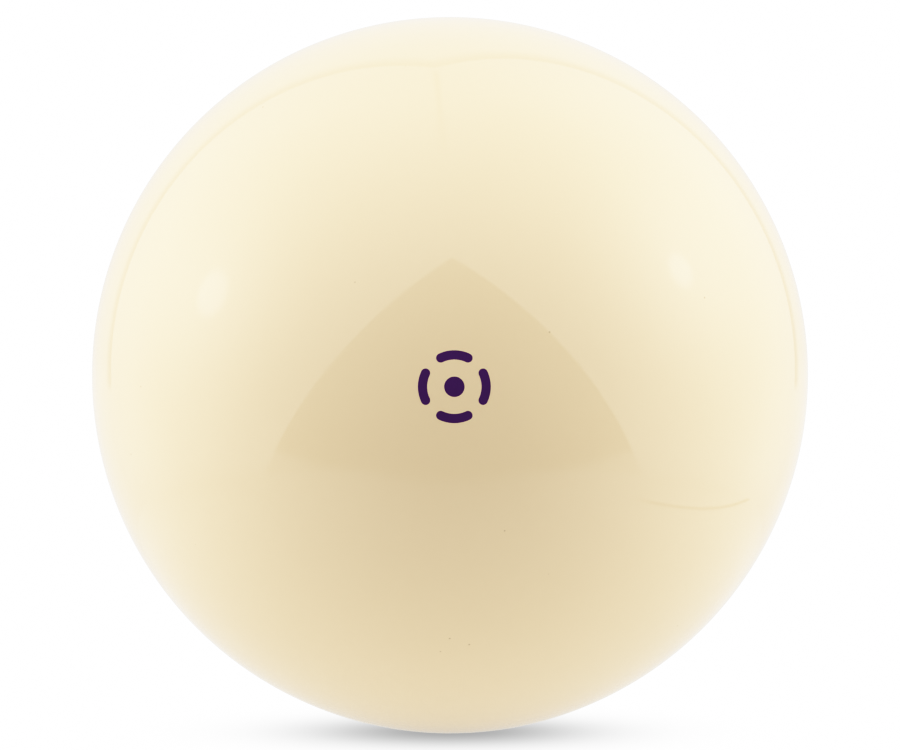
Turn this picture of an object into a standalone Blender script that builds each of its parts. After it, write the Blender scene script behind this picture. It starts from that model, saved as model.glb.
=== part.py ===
"""A cue ball: one solid cast ball, with a mark of coloured resin inlaid flush on its -Y side.

Run with: blender --background --python part.py

Metres, +Z up. The origin is the ball's centre, and the ball rests on its lowest point, on -Z.
"""

import cmath
import math

import bmesh
import bpy
from mathutils import Vector

# Driving dimensions, in metres
BALL_DIAMETER = 0.05715  # 2 1/4 in, the standard pool ball
MARK_WIDTH = 0.0054  # across the outside of the broken ring
STROKE_WIDTH = 0.00067
STROKE_GAP = 0.00095  # between the round ends of neighbouring strokes
DOT_DIAMETER = 0.0015
INLAY_DEPTH = 0.0006
CLEARANCE = 0.0003  # round and under each inlay, in its pocket

# Worked out from them
BALL_RADIUS = BALL_DIAMETER / 2
STROKE_RADIUS = STROKE_WIDTH / 2
RING_RADIUS = MARK_WIDTH / 2 - STROKE_RADIUS  # to the middle of the strokes
STROKE_SWEEP = math.tau / 4 - (STROKE_GAP + STROKE_WIDTH) / RING_RADIUS
CUTTER_PROUD = 0.001  # how far a cutting block stands out of the ball

# Tessellation: the ball's segments divide by four, so that it is full size along X, Y and Z
BALL_SEGMENTS = 96
SWEEP_STEPS = 13
CAP_STEPS = 8
DOT_STEPS = 32

# Linear colours
IVORY = (0.887, 0.723, 0.501, 1)
PURPLE = (0.112, 0.0105, 0.178, 1)

# Each stroke's middle, as an angle from +X towards +Z
STROKE_ANGLES = {
    "mark_arc_right": 0,
    "mark_arc_top": math.tau / 4,
    "mark_arc_left": math.tau / 2,
    "mark_arc_bottom": 3 * math.tau / 4,
}


def clear_scene():
    for obj in list(bpy.data.objects):
        bpy.data.objects.remove(obj, do_unlink=True)


def new_collection(name):
    collection = bpy.data.collections.new(name)
    bpy.context.scene.collection.children.link(collection)
    return collection


def resin(name, colour, roughness):
    """A polished, opaque cast resin."""
    material = bpy.data.materials.new(name)
    material.use_nodes = True
    shader = material.node_tree.nodes["Principled BSDF"]
    shader.inputs["Base Color"].default_value = colour
    shader.inputs["Roughness"].default_value = roughness
    shader.inputs["Metallic"].default_value = 0
    shader.inputs["IOR"].default_value = 1.6
    material.diffuse_color = colour
    return material


def mesh_object(name, bm, collection):
    """An object with bm as its mesh, facing out."""
    bmesh.ops.recalc_face_normals(bm, faces=bm.faces)
    mesh = bpy.data.meshes.new(name)
    bm.to_mesh(mesh)
    bm.free()
    obj = bpy.data.objects.new(name, mesh)
    collection.objects.link(obj)
    return obj


def ball(name, collection):
    bm = bmesh.new()
    bmesh.ops.create_uvsphere(
        bm,
        u_segments=BALL_SEGMENTS,
        v_segments=BALL_SEGMENTS // 2,
        radius=BALL_RADIUS,
    )
    return mesh_object(name, bm, collection)


def arc(centre, radius, start, sweep, steps):
    """Points along an arc, as complex numbers: x + z * i on the mark's face."""
    return [
        centre + cmath.rect(radius, start + sweep * i / steps) for i in range(steps + 1)
    ]


def stroke_outline(middle, half_width):
    """A stroke of the broken ring: two concentric arcs, joined by a half circle at each end."""
    start = middle - STROKE_SWEEP / 2
    end = middle + STROKE_SWEEP / 2
    outer = arc(0, RING_RADIUS + half_width, start, STROKE_SWEEP, SWEEP_STEPS)
    inner = arc(0, RING_RADIUS - half_width, end, -STROKE_SWEEP, SWEEP_STEPS)
    end_cap = arc(cmath.rect(RING_RADIUS, end), half_width, end, math.pi, CAP_STEPS)
    start_cap = arc(
        cmath.rect(RING_RADIUS, start), half_width, start + math.pi, math.pi, CAP_STEPS
    )
    return outer + end_cap[1:-1] + inner + start_cap[1:-1]


def dot_outline(radius):
    return arc(0, radius, math.pi / DOT_STEPS, math.tau, DOT_STEPS)[:-1]


def block(name, outline, depth, collection):
    """The outline as a block that runs in along Y, from outside the ball to depth below its surface."""
    bm = bmesh.new()
    outside = -BALL_RADIUS - CUTTER_PROUD
    face = bm.faces.new([bm.verts.new((p.real, outside, p.imag)) for p in outline])
    extruded = bmesh.ops.extrude_face_region(bm, geom=[face])["geom"]
    bmesh.ops.translate(
        bm,
        verts=[v for v in extruded if isinstance(v, bmesh.types.BMVert)],
        vec=Vector((0, CUTTER_PROUD + depth, 0)),
    )
    return mesh_object(name, bm, collection)


def cut(obj, other, operation):
    modifier = obj.modifiers.new(other.name, "BOOLEAN")
    modifier.object = other
    modifier.operation = operation
    modifier.solver = "EXACT"


def hide_cutters(cutters):
    for obj in cutters.objects:
        obj.hide_render = True
        obj.display_type = "WIRE"


def shade_smooth(obj, material):
    """Gives the object its material and smooth shading, with its rims left sharp."""
    obj.data.materials.append(material)
    obj.data.shade_smooth()
    obj.data.set_sharp_from_angle(angle=math.radians(30))


def inlay(name, outline, blank, parts):
    """One stroke of the mark, with its face flush with the ball's."""
    obj = block(name, outline, INLAY_DEPTH, parts)
    cut(obj, blank, "INTERSECT")
    return obj


def pocket(body, name, outline, cutters):
    """Cuts one inlay's pocket into the ball."""
    cut(body, block(name, outline, INLAY_DEPTH + CLEARANCE, cutters), "DIFFERENCE")


def main():
    clear_scene()
    parts = new_collection("cue_ball")
    cutters = new_collection("cutters")
    ivory = resin("ball_resin", IVORY, 0.05)
    purple = resin("mark_resin", PURPLE, 0.1)

    body = ball("ball_body", parts)
    blank = ball("ball_blank", cutters)
    for name, middle in STROKE_ANGLES.items():
        outline = stroke_outline(middle, STROKE_RADIUS + CLEARANCE)
        pocket(body, name + "_pocket", outline, cutters)
        outline = stroke_outline(middle, STROKE_RADIUS)
        shade_smooth(inlay(name, outline, blank, parts), purple)

    pocket(body, "mark_dot_pocket", dot_outline(DOT_DIAMETER / 2 + CLEARANCE), cutters)
    dot = inlay("mark_dot", dot_outline(DOT_DIAMETER / 2), blank, parts)
    shade_smooth(dot, purple)
    shade_smooth(body, ivory)
    hide_cutters(cutters)


main()
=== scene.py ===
"""The looks of the cue ball: polished ivory resin with a flush purple mark, in a small light tent."""

import cmath
import math

import bmesh
import bpy
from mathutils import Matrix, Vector, geometry


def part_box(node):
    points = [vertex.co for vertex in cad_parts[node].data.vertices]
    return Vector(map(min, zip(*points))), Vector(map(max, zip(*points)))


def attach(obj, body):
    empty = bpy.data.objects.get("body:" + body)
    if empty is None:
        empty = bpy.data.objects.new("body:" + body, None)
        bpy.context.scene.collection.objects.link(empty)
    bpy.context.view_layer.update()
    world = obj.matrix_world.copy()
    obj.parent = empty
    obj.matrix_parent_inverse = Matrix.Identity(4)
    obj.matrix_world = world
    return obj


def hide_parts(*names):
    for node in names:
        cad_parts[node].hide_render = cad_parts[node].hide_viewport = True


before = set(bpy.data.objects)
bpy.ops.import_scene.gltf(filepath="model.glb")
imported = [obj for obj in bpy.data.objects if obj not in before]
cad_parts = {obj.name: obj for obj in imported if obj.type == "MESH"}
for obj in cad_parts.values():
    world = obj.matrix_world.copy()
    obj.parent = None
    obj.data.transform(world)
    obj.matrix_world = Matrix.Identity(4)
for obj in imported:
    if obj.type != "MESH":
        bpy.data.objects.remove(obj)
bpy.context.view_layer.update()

# ---------------------------------------------------------------- sizes, in metres
BALL_LOW, BALL_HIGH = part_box("ball_body")
RADIUS = (BALL_HIGH.x - BALL_LOW.x) / 2
MARK_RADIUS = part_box("mark_arc_right")[1].x  # outside of the broken ring
STROKE_WIDTH = 0.00067
STROKE_GAP = 0.00095  # between the round ends of neighbouring strokes
DOT_RADIUS = 0.00075
INLAY_DEPTH = 0.0006
JOINT = 0.000006  # the hairline round an inlay
SURFACE_TOLERANCE = RADIUS * 1e-5  # within which a vertex counts as on the ball's surface

RING_RADIUS = MARK_RADIUS - STROKE_WIDTH / 2
STROKE_SWEEP = math.tau / 4 - (STROKE_GAP + STROKE_WIDTH) / RING_RADIUS
STROKE_ANGLES = {
    "mark_arc_right": 0,
    "mark_arc_top": math.tau / 4,
    "mark_arc_left": math.tau / 2,
    "mark_arc_bottom": 3 * math.tau / 4,
}

# Mesh fineness
PATCH_RADIUS = 0.0036  # the part of the ball's face that is meshed round the mark
PATCH_SPACING = 0.00012
INLAY_SPACING = PATCH_SPACING * 0.7
CLEAR_SHARE = 0.6  # of the spacing, kept free of grid points along an outline
MERGE_DISTANCE = 1e-6  # in spacings
INSIDE_ONLY = 1  # the triangulation that keeps to the inside of the outlines
SEGMENTS = 320
SWEEP_STEPS = 36
CAP_STEPS = 16
DOT_STEPS = 72

# ---------------------------------------------------------------- the view
BALL_SHARE = 0.7964  # of the frame's width that the ball fills
LENS = 200.0  # millimetres, on a sensor 36 mm wide
SENSOR = 36.0
VIEW_AZIMUTH = math.radians(-0.65)
VIEW_ELEVATION = math.radians(1.75)
CLIP_START, CLIP_END = 0.01, 100.0  # metres

# ---------------------------------------------------------------- the resins
# Scales are noise cells to the metre. A ramp is (from, to, value at from, value at to), and with
# its first two numbers alone it rises from 0 to 1.
RESIN_IOR = 1.6
WAVE_SCALE, WAVE_DEPTH = 240.0, 0.000002  # the waviness that polishing leaves
IVORY_PALE = (0.892, 0.731, 0.503, 1)
IVORY_DEEP = (0.880, 0.719, 0.491, 1)
CLOUD_SCALE, GRAIN_SCALE, GRAIN_SHARE = 55.0, 1400.0, 0.25
CLOUD_RANGE = (0.35, 0.9)
SPECK_COLOUR, SPECK_SHARE = (0.36, 0.26, 0.15, 1), 0.4
SPECK_SCALE = 300.0  # with a speck in each cell
SPECK_SIZE = (0.014, 0.032, 1.0, 0.0)  # in cells, from its core to its rim
SCRATCH_SCALES = ((5200.0, 70.0, 240.0), (160.0, 260.0, 4600.0))
SCRATCH_RANGE = (0.70, 0.78)
SCRATCH_ROUGHNESS = 0.05  # added along a scratch
HAZE_SCALE = 120.0
HAZE_ROUGHNESS = (0.35, 0.75, 0.015, 0.035)
PURPLE_DARK = (0.105, 0.0095, 0.168, 1)
PURPLE_LIGHT = (0.119, 0.0115, 0.188, 1)
PURPLE_CLOUD_SCALE, PURPLE_HAZE_SCALE = 900.0, 2600.0
PURPLE_ROUGHNESS = (0.3, 0.7, 0.03, 0.07)

# ---------------------------------------------------------------- light, as radiance
# Ramps as for the resins, with the light that they add. On the cloth and the floor they run over
# metres, and on the tent over a component of the unit direction from the ball's centre.
TENT_RADIUS = 0.076
TENT_SEGMENTS = 96
CLOTH_RADIUS = math.sqrt(TENT_RADIUS**2 - RADIUS**2)  # where the tent meets its floor
CLOTH_LIFT = 0.00002  # of the tent's floor over the studio's
CLOTH_COLOUR = (0.19, 0.19, 0.19, 1)
CLOTH_LIGHT = 0.93
# painted shade and light in the cloth's glow: dimmer under and round the ball, at and towards the
# door, past the sill and at the edge, brighter at the sides
CLOTH_PAINTED_SHADE_UNDER_BALL = (0.0005, 0.0115, -0.108, 0.0)
CLOTH_PAINTED_SHADE_ROUND_BALL = (0.002, 0.018, -0.130, 0.0)
CLOTH_PAINTED_SHADE_AT_DOOR = (0.0, 0.04, -0.235, 0.0)
CLOTH_PAINTED_SHADE_TOWARDS_DOOR = (0.02, 0.08, -0.060, 0.0)
CLOTH_PAINTED_SHADE_PAST_SILL = (-0.0655, -0.0600, -0.20, 0.0)
CLOTH_PAINTED_LIGHT_SIDES = (0.015, 0.06, 0.0, 0.216)
CLOTH_PAINTED_SHADE_EDGE = (0.05, CLOTH_RADIUS, 0.0, -0.086)
FOLD_ACROSS, FOLD_ALONG, FOLD_OFFSET = 0.914, -0.406, -0.0543  # the crease's line
# painted shade along the crease: a dip in the cloth's glow
FOLD_SHADE = (0.0, 0.0013, -0.80, 0.0)
FOLD_END = (-0.038, -0.028)

STUDIO_LIGHT = 2.0
PAINTED_SHADE_LIGHT, PAINTED_SHADE_RADIUS = 0.50, 0.030  # the painted soft shade where the ball rests: the floor's glow dims towards it
FLOOR_RADIUS = 4.0
DISC_CENTRE = 0.001  # the innermost ring of a disc
DISC_RINGS = 40
DISC_SEGMENTS = 96

# The tent's two sheets, and the lamps behind them
LEFT_LAMP, RIGHT_LAMP = (-0.898, -0.305, 0.318), (0.861, -0.311, 0.403)
LAMP_WIDTH = 0.06
LEFT_GLOW, RIGHT_GLOW = 0.848, 0.947
LEFT_CORE = (0.9935, 0.9985, 0.0, 1.10)
RIGHT_CORE = (0.996, 0.9995, 0.0, 1.10)
SHEET_LIGHT = (-0.38, 0.1, 1.531, 1.360)
SHEET_RISE = 0.204  # added towards the top
SHEET_FOOT = (-0.385, -0.26, -0.125, 0.0)
SHEET_TO_HEM = (-0.35, 0.0, 0.0, -0.214)

# The sheets' hems at the back opening, each the normal of a plane, and the ridge between them
LEFT_HEM, RIGHT_HEM = (0.480, 0.871, -0.107), (-0.545, 0.825, -0.148)
HEM_SHADE = (-0.007, 0.09, -0.54, 0.0)
HEM_EDGE = (-0.017, -0.007)
HEM_FOOT = (-0.06, -0.03)
RIDGE = (0.998, 0.022, 0.044)
RIDGE_WIDTH, RIDGE_SHADE = 0.012, -0.5
RIDGE_FRONT, RIDGE_BACK = (-0.56, -0.3), (0.08, 0.14, 1.0, 0.0)
RIDGE_FOOT = (0.6, 0.8)

# The back opening and the door, whose sides and sill are each a plane's normal and its edge
BACK_OPENING = (-0.012, 0.012)
BACK_LIGHT = (-0.03, 0.03, 1.194, 1.12)
BACK_TOP = (0.3, 0.9, 0.0, 0.213)
DOOR_LEFT, DOOR_LEFT_EDGE = (0.564, -0.526, -0.637), (0.106, 0.119)
DOOR_RIGHT, DOOR_RIGHT_EDGE = (-0.530, -0.561, -0.635), (0.138, 0.151)
DOOR_SILL, DOOR_SILL_EDGE = (0, -0.417, 0.909), (-0.022, 0.022)
DOOR_LIGHT = 0.55
DOOR_FOOT = (0, -0.07, 0)  # the middle of the door, on the floor
FRONT_CLOTH_LIGHT = (0.35, 0.72, 0.76, 1.06)  # below the sill, from the middle to the corners

# The tone curve is 1 - exp(-(x / knee) ** power), as a camera's highlights roll off.
TONE_POWER = 1.845
TONE_KNEE = 0.720
TONE_WHITE = 3.0
TONE_POINTS = 24
COMBINED_CURVE = 3

# The sockets of a Mix node
FACTOR_A, FACTOR_B = 2, 3
COLOUR_A, COLOUR_B, COLOUR_RESULT = 6, 7, 2


class Tree:
    """A node tree under construction: each method adds a node and returns an output of it."""

    def __init__(self, owner):
        owner.use_nodes = True
        self.tree = owner.node_tree
        self.tree.nodes.clear()

    def node(self, kind, inputs=None, **settings):
        node = self.tree.nodes.new("ShaderNode" + kind)
        for name, value in settings.items():
            setattr(node, name, value)
        for key, value in (inputs or {}).items():
            self.feed(node.inputs[key], value)
        return node

    def feed(self, socket, value):
        if isinstance(value, bpy.types.NodeSocket):
            self.tree.links.new(value, socket)
        else:
            socket.default_value = value

    def math(self, operation, *values):
        inputs = dict(enumerate(values))
        return self.node("Math", inputs, operation=operation).outputs[0]

    def product(self, *values):
        total = values[0]
        for value in values[1:]:
            total = self.math("MULTIPLY", total, value)
        return total

    def total(self, *values):
        total = values[0]
        for value in values[1:]:
            total = self.math("ADD", total, value)
        return total

    def ramp(self, value, low, high, start=0.0, end=1.0):
        """A smooth step from start to end as value goes from low to high."""
        inputs = {0: value, 1: low, 2: high, 3: start, 4: end}
        return self.node("MapRange", inputs, interpolation_type="SMOOTHSTEP").outputs[0]

    def dot(self, vector, direction):
        inputs = {0: vector, 1: Vector(direction).normalized()}
        return self.node("VectorMath", inputs, operation="DOT_PRODUCT").outputs["Value"]

    def stretched(self, vector, scale):
        inputs = {0: vector, 1: scale}
        return self.node("VectorMath", inputs, operation="MULTIPLY").outputs[0]

    def noise(self, vector, scale, detail=2.0):
        inputs = {"Vector": vector, "Scale": scale, "Detail": detail}
        return self.node("TexNoise", inputs).outputs[0]

    def mix(self, share, first, second):
        """Mixes two numbers."""
        inputs = {"Factor": share, FACTOR_A: first, FACTOR_B: second}
        return self.node("Mix", inputs).outputs[0]

    def mix_colours(self, share, first, second):
        node = self.node("Mix", {"Factor": share}, data_type="RGBA")
        self.feed(node.inputs[COLOUR_A], first)
        self.feed(node.inputs[COLOUR_B], second)
        return node.outputs[COLOUR_RESULT]

    def place(self):
        """The point's place in the object's own frame, in metres."""
        return self.node("TexCoord").outputs["Object"]

    def output(self, shader, kind="Material"):
        self.node("Output" + kind, {"Surface": shader})


# ---------------------------------------------------------------- the mark's outlines
def arc(centre, radius, start, sweep, steps):
    """Points along an arc, as complex numbers: x + z * i on the mark's face."""
    return [
        centre + cmath.rect(radius, start + sweep * i / steps) for i in range(steps + 1)
    ]


def stroke_outline(middle, half_width):
    """A stroke of the broken ring: two concentric arcs, joined by a half circle at each end."""
    start = middle - STROKE_SWEEP / 2
    end = middle + STROKE_SWEEP / 2
    outer = arc(0, RING_RADIUS + half_width, start, STROKE_SWEEP, SWEEP_STEPS)
    inner = arc(0, RING_RADIUS - half_width, end, -STROKE_SWEEP, SWEEP_STEPS)
    end_cap = arc(cmath.rect(RING_RADIUS, end), half_width, end, math.pi, CAP_STEPS)
    start_cap = arc(
        cmath.rect(RING_RADIUS, start), half_width, start + math.pi, math.pi, CAP_STEPS
    )
    return outer + end_cap[1:-1] + inner + start_cap[1:-1]


def circle(radius, steps):
    return arc(0, radius, 0, math.tau, steps)[:-1]


def mark_outlines(margin):
    """Each inlay's outline by name, grown by margin."""
    outlines = {
        name: stroke_outline(middle, STROKE_WIDTH / 2 + margin)
        for name, middle in STROKE_ANGLES.items()
    }
    outlines["mark_dot"] = circle(DOT_RADIUS + margin, DOT_STEPS)
    return outlines


# ---------------------------------------------------------------- meshes
def grid_points(radius, spacing):
    """A triangular grid that fills a circle."""
    row_height = spacing * math.sqrt(3) / 2
    rows = math.ceil(radius / row_height)
    columns = math.ceil(radius / spacing) + 1
    points = []
    for row in range(-rows, rows + 1):
        for column in range(-columns, columns + 1):
            point = complex((column + (row % 2) / 2) * spacing, row * row_height)
            if abs(point) < radius - spacing / 2:
                points.append(point)
    return points


def clear_of(points, outlines, distance):
    """The points that are no nearer than distance to any point of the outlines."""
    taken = [p for outline in outlines for p in outline]
    return [p for p in points if min(abs(p - q) for q in taken) > distance]


def triangulate(outlines, spacing):
    """Meshes the inside of outlines[0], with the other outlines as edges of the mesh.

    Returns the points, a list of (triangle, the numbers of the outlines that it is inside),
    and each outline as a loop of the points' numbers.
    """
    extent = max(abs(p) for p in outlines[0])
    grid = clear_of(grid_points(extent, spacing), outlines, spacing * CLEAR_SHARE)
    points = [p for outline in outlines for p in outline] + grid
    loops = []
    first = 0
    for outline in outlines:
        loops.append(list(range(first, first + len(outline))))
        first += len(outline)
    unit = PATCH_SPACING  # the solver works best on numbers near one
    flat = [Vector((p.real, p.imag)) / unit for p in points]
    vertices, _, faces, origins, _, insides = geometry.delaunay_2d_cdt(
        flat, [], loops, INSIDE_ONLY, MERGE_DISTANCE
    )
    assert len(vertices) >= len(points)
    triangles = [(face, set(inside)) for face, inside in zip(faces, insides)]
    order = {old: new for new, olds in enumerate(origins) for old in olds}
    loops = [[order[i] for i in loop] for loop in loops]
    return [complex(v.x, v.y) * unit for v in vertices], triangles, loops


def on_face(point, depth=0.0):
    """The point of the mark's side of the ball at x + z * i, sunk along Y by depth."""
    return (
        point.real,
        depth - math.sqrt(RADIUS**2 - abs(point) ** 2),
        point.imag,
    )


def walls(loop, sunk):
    """The strip between a loop on the ball's face and the same loop sunk below it."""
    pairs = zip(loop, loop[1:] + loop[:1])
    return [(a, sunk[a], sunk[b], b) for a, b in pairs]


def mesh_object(name, points, faces):
    mesh = bpy.data.meshes.new(name)
    mesh.from_pydata(points, [], faces)
    bm = bmesh.new()
    bm.from_mesh(mesh)
    bmesh.ops.recalc_face_normals(bm, faces=bm.faces)
    bm.to_mesh(mesh)
    bm.free()
    obj = bpy.data.objects.new(name, mesh)
    bpy.context.scene.collection.objects.link(obj)
    shade(mesh)
    return obj


def shade(mesh):
    """Exact normals: the sphere's own on its surface, and flat ones on what is cut into it."""
    mesh.shade_smooth()
    on_surface = [abs(v.co.length - RADIUS) < SURFACE_TOLERANCE for v in mesh.vertices]
    radial = [v.co.normalized() for v in mesh.vertices]
    normals = []
    for face in mesh.polygons:
        if all(on_surface[i] for i in face.vertices):
            normals += [radial[i] for i in face.vertices]
        else:
            normals += [face.normal.copy()] * face.loop_total
    mesh.normals_split_custom_set(normals)


def ball_mesh(name):
    """The ball: rings of faces about Y, and round the mark a finer patch with its pockets."""
    rim = circle(PATCH_RADIUS, SEGMENTS)
    outlines = [rim] + list(mark_outlines(JOINT).values())
    flat, triangles, loops = triangulate(outlines, PATCH_SPACING)
    points = [on_face(p) for p in flat]
    sunk = {}
    faces = []
    for triangle, inside in triangles:
        if inside == {0}:
            faces.append(triangle)
            continue
        for i in triangle:
            if i not in sunk:
                sunk[i] = len(points)
                points.append(on_face(flat[i], INLAY_DEPTH + JOINT))
        faces.append([sunk[i] for i in triangle])
    for loop in loops[1:]:
        faces += walls(loop, sunk)

    start = math.asin(PATCH_RADIUS / RADIUS)
    rings = round((math.pi - start) / (math.tau / SEGMENTS))
    ring = loops[0]
    for step in range(1, rings):
        angle = start + (math.pi - start) * step / rings
        new = list(range(len(points), len(points) + SEGMENTS))
        for p in circle(RADIUS * math.sin(angle), SEGMENTS):
            points.append((p.real, -RADIUS * math.cos(angle), p.imag))
        for i in range(SEGMENTS):
            after = (i + 1) % SEGMENTS
            faces.append((ring[i], new[i], new[after], ring[after]))
        ring = new
    points.append((0, RADIUS, 0))
    for i in range(SEGMENTS):
        faces.append((ring[i], len(points) - 1, ring[(i + 1) % SEGMENTS]))
    return mesh_object(name, points, faces)


def inlay_mesh(name, outline):
    """One stroke of the mark: its face lies on the ball's, and its back is in the pocket."""
    flat, triangles, loops = triangulate([outline], INLAY_SPACING)
    points = [on_face(p) for p in flat]
    sunk = {i: len(points) + i for i in range(len(flat))}
    points += [on_face(p, INLAY_DEPTH) for p in flat]
    faces = [triangle for triangle, _ in triangles]
    faces += [[sunk[i] for i in reversed(triangle)] for triangle, _ in triangles]
    faces += walls(loops[0], sunk)
    return mesh_object(name, points, faces)


# ---------------------------------------------------------------- materials
def resin_surface(tree, place, colour, roughness):
    """A polished phenolic resin: an even colour under a clear and very slightly wavy reflection."""
    waves = tree.noise(place, WAVE_SCALE)
    bump = tree.node("Bump", {"Strength": 1.0, "Distance": WAVE_DEPTH, "Height": waves})
    inputs = {
        "Base Color": colour,
        "Roughness": roughness,
        "IOR": RESIN_IOR,
        "Normal": bump.outputs[0],
    }
    tree.output(tree.node("BsdfPrincipled", inputs).outputs[0])


def scratches(tree, place):
    """Hairlines of wear from play, in two directions, each a thin streak of stretched noise."""
    found = []
    for scale in SCRATCH_SCALES:
        streaks = tree.noise(tree.stretched(place, scale), 1.0, detail=1.0)
        found.append(tree.ramp(streaks, *SCRATCH_RANGE))
    return tree.math("MAXIMUM", *found)


def specks(tree, place):
    """Tiny inclusions, scattered through the resin, that show where the surface cuts one."""
    cells = tree.node("TexVoronoi", {"Vector": place, "Scale": SPECK_SCALE})
    return tree.ramp(cells.outputs["Distance"], *SPECK_SIZE)


def ball_material():
    material = bpy.data.materials.new("ivory_resin")
    tree = Tree(material)
    place = tree.place()
    cloud = tree.noise(place, CLOUD_SCALE, detail=3.0)
    grain = tree.noise(place, GRAIN_SCALE)
    tint = tree.ramp(tree.total(cloud, tree.product(grain, GRAIN_SHARE)), *CLOUD_RANGE)
    base = tree.mix_colours(tint, IVORY_PALE, IVORY_DEEP)
    speck = tree.product(specks(tree, place), SPECK_SHARE)
    colour = tree.mix_colours(speck, base, SPECK_COLOUR)
    wear = tree.product(scratches(tree, place), SCRATCH_ROUGHNESS)
    haze = tree.ramp(tree.noise(place, HAZE_SCALE, detail=3.0), *HAZE_ROUGHNESS)
    resin_surface(tree, place, colour, tree.total(haze, wear))
    return material


def mark_material():
    material = bpy.data.materials.new("purple_resin")
    tree = Tree(material)
    place = tree.place()
    cloud = tree.noise(place, PURPLE_CLOUD_SCALE, detail=3.0)
    colour = tree.mix_colours(cloud, PURPLE_DARK, PURPLE_LIGHT)
    haze = tree.noise(place, PURPLE_HAZE_SCALE)
    resin_surface(tree, place, colour, tree.ramp(haze, *PURPLE_ROUGHNESS))
    return material


# ---------------------------------------------------------------- the studio
def distance(tree, place, centre):
    """How far a place on the floor is from centre."""
    inputs = {0: place, 1: Vector(centre)}
    return tree.node("VectorMath", inputs, operation="DISTANCE").outputs["Value"]


def painted_fold_shade(tree, across, along):
    """A soft crease in the tent's floor cloth, to the right of the ball, drawn as painted shade: a
    dark line in the cloth's glow.
    """
    slant = tree.total(
        tree.product(across, FOLD_ACROSS), tree.product(along, FOLD_ALONG), FOLD_OFFSET
    )
    crease = tree.ramp(tree.math("ABSOLUTE", slant), *FOLD_SHADE)
    return tree.product(crease, tree.ramp(along, *FOLD_END))


def cloth_material():
    """White cloth, lit through from below, with painted shade and light in its glow: dim under and
    round the ball and by the tent's door, brighter at the sides.
    """
    material = bpy.data.materials.new("tent_floor")
    tree = Tree(material)
    place = tree.place()
    parts = tree.node("SeparateXYZ", {0: place})
    across, along = parts.outputs[0], parts.outputs[1]
    away = distance(tree, place, (0, 0, 0))
    from_door = distance(tree, place, DOOR_FOOT)
    # painted shade and light: the ramps dim the glow by the ball and the door and raise it at the
    # sides
    light = tree.total(
        CLOTH_LIGHT,
        tree.ramp(away, *CLOTH_PAINTED_SHADE_UNDER_BALL),
        tree.ramp(away, *CLOTH_PAINTED_SHADE_ROUND_BALL),
        tree.ramp(from_door, *CLOTH_PAINTED_SHADE_AT_DOOR),
        tree.ramp(along, *CLOTH_PAINTED_SHADE_PAST_SILL),
        tree.ramp(from_door, *CLOTH_PAINTED_SHADE_TOWARDS_DOOR),
        tree.ramp(tree.math("ABSOLUTE", across), *CLOTH_PAINTED_LIGHT_SIDES),
        tree.ramp(away, *CLOTH_PAINTED_SHADE_EDGE),
        painted_fold_shade(tree, across, along),
    )
    glow = tree.node("Emission", {"Strength": light})
    matt = tree.node("BsdfDiffuse", {"Color": CLOTH_COLOUR})
    both = tree.node("AddShader", {0: glow.outputs[0], 1: matt.outputs[0]})
    tree.output(both.outputs[0])
    material.cycles.emission_sampling = "NONE"
    return material


def floor_material():
    """Plain and pale, with a painted soft shade where the ball rests on it: its glow dims towards the
    ball.
    """
    material = bpy.data.materials.new("floor")
    tree = Tree(material)
    away = distance(tree, tree.place(), (0, 0, 0))
    # painted shade: the glow is dimmest where the ball rests
    light = tree.ramp(away, 0.0, PAINTED_SHADE_RADIUS, PAINTED_SHADE_LIGHT, STUDIO_LIGHT)
    tree.output(tree.node("Emission", {"Strength": light}).outputs[0])
    material.cycles.emission_sampling = "NONE"
    return material


def lamp(tree, aim, direction, strength, core):
    """A lamp behind a sheet: a glow that falls off round its direction, and its bright core."""
    facing = tree.dot(aim, direction)
    away = tree.math("SUBTRACT", facing, 1.0)
    falloff = tree.math("EXPONENT", tree.math("DIVIDE", away, LAMP_WIDTH))
    return tree.total(tree.product(falloff, strength), tree.ramp(facing, *core))


def soft_line(tree, value, width, strength):
    """A soft line where value is zero."""
    offset = tree.math("DIVIDE", value, width)
    squared = tree.product(offset, offset, -1.0)
    return tree.product(tree.math("EXPONENT", squared), strength)


def sheet_light(tree, aim, height, inside):
    """The two sheets, with a lamp behind each: brighter at the top, dimmer towards the hems."""
    return tree.total(
        tree.ramp(height, *SHEET_LIGHT),
        tree.product(tree.math("MAXIMUM", height, 0.0), SHEET_RISE),
        tree.ramp(height, *SHEET_FOOT),
        tree.ramp(inside, *SHEET_TO_HEM),
        lamp(tree, aim, LEFT_LAMP, LEFT_GLOW, LEFT_CORE),
        lamp(tree, aim, RIGHT_LAMP, RIGHT_GLOW, RIGHT_CORE),
    )


def seams(tree, aim, depth, height, inside):
    """The shade behind the hems at the back opening, and the ridge that joins the sheets."""
    hem = tree.product(
        tree.ramp(inside, *HEM_EDGE),
        tree.ramp(inside, *HEM_SHADE),
        tree.ramp(height, *HEM_FOOT),
    )
    ridge = tree.product(
        soft_line(tree, tree.dot(aim, RIDGE), RIDGE_WIDTH, RIDGE_SHADE),
        tree.ramp(depth, *RIDGE_FRONT),
        tree.ramp(height, *RIDGE_FOOT),
        tree.ramp(depth, *RIDGE_BACK),
    )
    return tree.total(hem, ridge)


def door_light(tree, aim, across):
    """What the door shows: the dim room outside, and the tent's own cloth below the sill."""
    cloth = tree.ramp(tree.math("ABSOLUTE", across), *FRONT_CLOTH_LIGHT)
    above_sill = tree.ramp(tree.dot(aim, DOOR_SILL), *DOOR_SILL_EDGE)
    return tree.mix(above_sill, cloth, DOOR_LIGHT)


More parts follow.
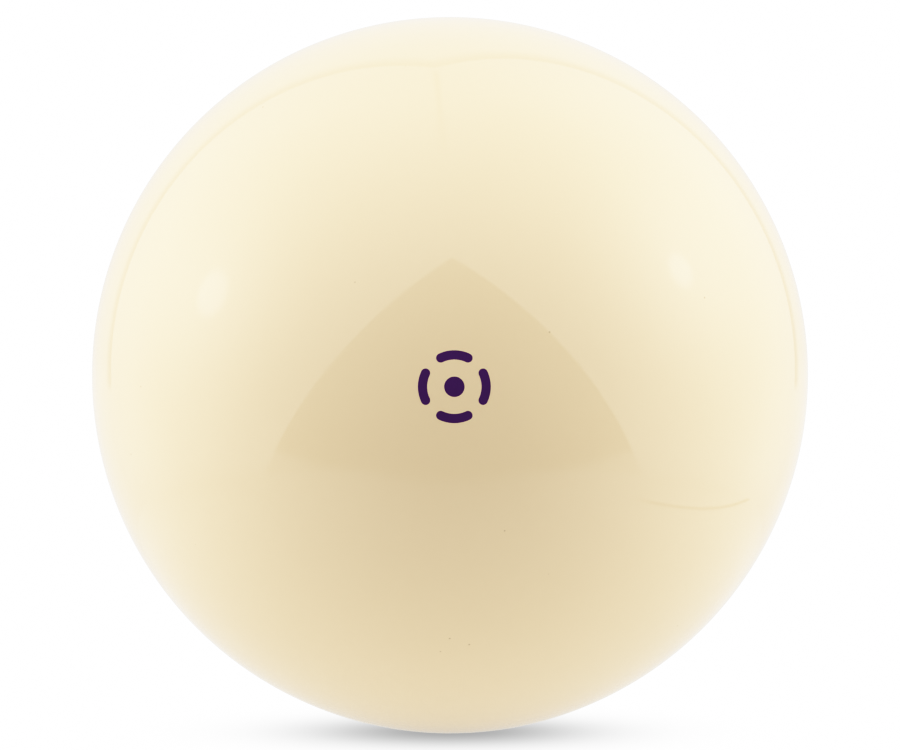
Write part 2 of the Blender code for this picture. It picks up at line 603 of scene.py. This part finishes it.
def tent_material():
    """Two glowing sheets that lean together over the ball, open at the front and the back."""
    material = bpy.data.materials.new("light_tent")
    tree = Tree(material)
    aim = tree.node("VectorMath", {0: tree.place()}, operation="NORMALIZE").outputs[0]
    parts = tree.node("SeparateXYZ", {0: aim})
    across, depth, height = parts.outputs[0], parts.outputs[1], parts.outputs[2]
    door = tree.product(
        tree.ramp(tree.dot(aim, DOOR_LEFT), *DOOR_LEFT_EDGE),
        tree.ramp(tree.dot(aim, DOOR_RIGHT), *DOOR_RIGHT_EDGE),
    )
    inside = tree.math("MINIMUM", tree.dot(aim, LEFT_HEM), tree.dot(aim, RIGHT_HEM))
    back = tree.ramp(inside, *BACK_OPENING)
    back_light = tree.total(tree.ramp(height, *BACK_LIGHT), tree.ramp(height, *BACK_TOP))
    closed = tree.mix(back, sheet_light(tree, aim, height, inside), back_light)
    light = tree.mix(door, closed, door_light(tree, aim, across))
    light = tree.total(light, seams(tree, aim, depth, height, inside))
    glow = tree.node("Emission", {"Strength": light})
    tree.output(glow.outputs[0])
    material.cycles.emission_sampling = "NONE"
    return material


def add_disc(name, radius, height, material):
    """A level disc, in rings that grow with distance so that light near the ball is even."""
    points = [(0, 0, 0)]
    faces = []
    for step in range(DISC_RINGS):
        share = step / (DISC_RINGS - 1)
        ring = circle(DISC_CENTRE * (radius / DISC_CENTRE) ** share, DISC_SEGMENTS)
        first = len(points)
        points += [(p.real, p.imag, 0) for p in ring]
        for i in range(DISC_SEGMENTS):
            after = (i + 1) % DISC_SEGMENTS
            if step == 0:
                faces.append((0, first + i, first + after))
            else:
                inner = first - DISC_SEGMENTS
                faces.append((inner + i, first + i, first + after, inner + after))
    mesh = bpy.data.meshes.new(name)
    mesh.from_pydata(points, [], faces)
    mesh.materials.append(material)
    disc = bpy.data.objects.new(name, mesh)
    disc.location.z = height
    bpy.context.scene.collection.objects.link(disc)
    return disc


def add_tent():
    """The tent stands round the ball, on a cloth of its own. The camera sees through both."""
    cloth = add_disc("tent_floor", CLOTH_RADIUS, CLOTH_LIFT - RADIUS, cloth_material())
    cloth.visible_camera = False
    bpy.ops.mesh.primitive_uv_sphere_add(
        segments=TENT_SEGMENTS,
        ring_count=TENT_SEGMENTS // 2,
        radius=TENT_RADIUS,
        location=(0, 0, 0),
    )
    tent = bpy.context.object
    tent.name = "light_tent"
    tent.data.shade_smooth()
    tent.data.materials.append(tent_material())
    tent.visible_camera = False


def add_world():
    world = bpy.data.worlds.new("studio")
    tree = Tree(world)
    inputs = {"Color": (1, 1, 1, 1), "Strength": STUDIO_LIGHT}
    tree.output(tree.node("Background", inputs).outputs[0], "World")
    bpy.context.scene.world = world


def add_camera():
    """A long lens, almost level with the ball, which fills BALL_SHARE of the frame's width."""
    camera = bpy.data.objects.new("camera", bpy.data.cameras.new("camera"))
    bpy.context.scene.collection.objects.link(camera)
    camera.data.lens = LENS
    camera.data.sensor_width = SENSOR
    camera.data.clip_start = CLIP_START
    camera.data.clip_end = CLIP_END
    half_angle = math.atan(BALL_SHARE * SENSOR / 2 / LENS)
    back = Vector(
        (
            math.sin(VIEW_AZIMUTH) * math.cos(VIEW_ELEVATION),
            -math.cos(VIEW_AZIMUTH) * math.cos(VIEW_ELEVATION),
            math.sin(VIEW_ELEVATION),
        )
    )
    camera.location = back * RADIUS / math.sin(half_angle)
    camera.rotation_euler = back.to_track_quat("Z", "Y").to_euler()
    bpy.context.scene.camera = camera


def set_tone():
    """The tone curve, as points over the range from black to TONE_WHITE."""
    view = bpy.context.scene.view_settings
    view.view_transform = "Standard"
    view.use_curve_mapping = True
    mapping = view.curve_mapping
    mapping.white_level = (TONE_WHITE, TONE_WHITE, TONE_WHITE)
    curve = mapping.curves[COMBINED_CURVE]
    for step in range(1, TONE_POINTS):
        share = step / TONE_POINTS
        exposure = share * TONE_WHITE / TONE_KNEE
        curve.points.new(share, 1 - math.exp(-(exposure**TONE_POWER)))
    mapping.update()


# ---------------------------------------------------------------- the scene
def add_piece(piece, node, material):
    piece.data.materials.append(material)
    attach(piece, "root")
    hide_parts(node)


def main():
    add_camera()
    add_world()
    add_disc("floor", FLOOR_RADIUS, -RADIUS, floor_material())
    add_tent()
    set_tone()
    add_piece(ball_mesh("cast_ball"), "ball_body", ball_material())
    purple = mark_material()
    for node, outline in mark_outlines(0).items():
        piece = inlay_mesh(node.replace("mark", "inlay"), outline)
        add_piece(piece, node, purple)


main()
